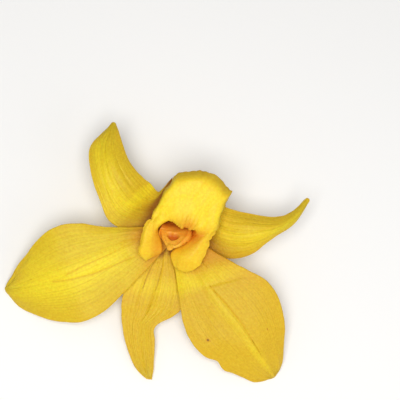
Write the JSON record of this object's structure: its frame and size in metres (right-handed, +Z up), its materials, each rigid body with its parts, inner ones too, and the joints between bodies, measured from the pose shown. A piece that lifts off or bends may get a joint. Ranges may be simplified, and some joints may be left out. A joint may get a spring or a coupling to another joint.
{
  "type": "preserved orchid bloom",
  "caption": "Preserved yellow orchid bloom cut with its stalk and laid on its back: broad petals, sickle-shaped and boat-shaped sepals, and a flared lip that wraps the column.",
  "frame": {"origin": "on the surface the bloom lies on, under the middle of its bounding box", "axes": "+Z up from that surface; +X across the bloom towards the right petal and right lateral sepal; +Y from the dorsal sepal towards the lip"},
  "size_m": [0.066, 0.055, 0.0223],
  "materials": {
    "sepal": "preserved sepal tissue, softly waxy, fine lengthwise veins",
    "petal": "preserved petal tissue, softly waxy, fine lengthwise veins",
    "lip": "preserved petal tissue, pale bright yellow, orange at the throat",
    "column": "fleshy waxy tissue, orange",
    "cap": "smooth waxy tissue, pale yellow",
    "stalk": "dried green-yellow stalk, matt, finely furrowed"
  },
  "bodies": {
    "root": {"dorsal_sepal": "sepal", "left_lateral_sepal": "sepal", "right_lateral_sepal": "sepal", "left_petal": "petal", "right_petal": "petal", "lip": "lip", "column": "column", "anther_cap": "cap", "pedicel": "stalk"}
  },
  "joints": []
}
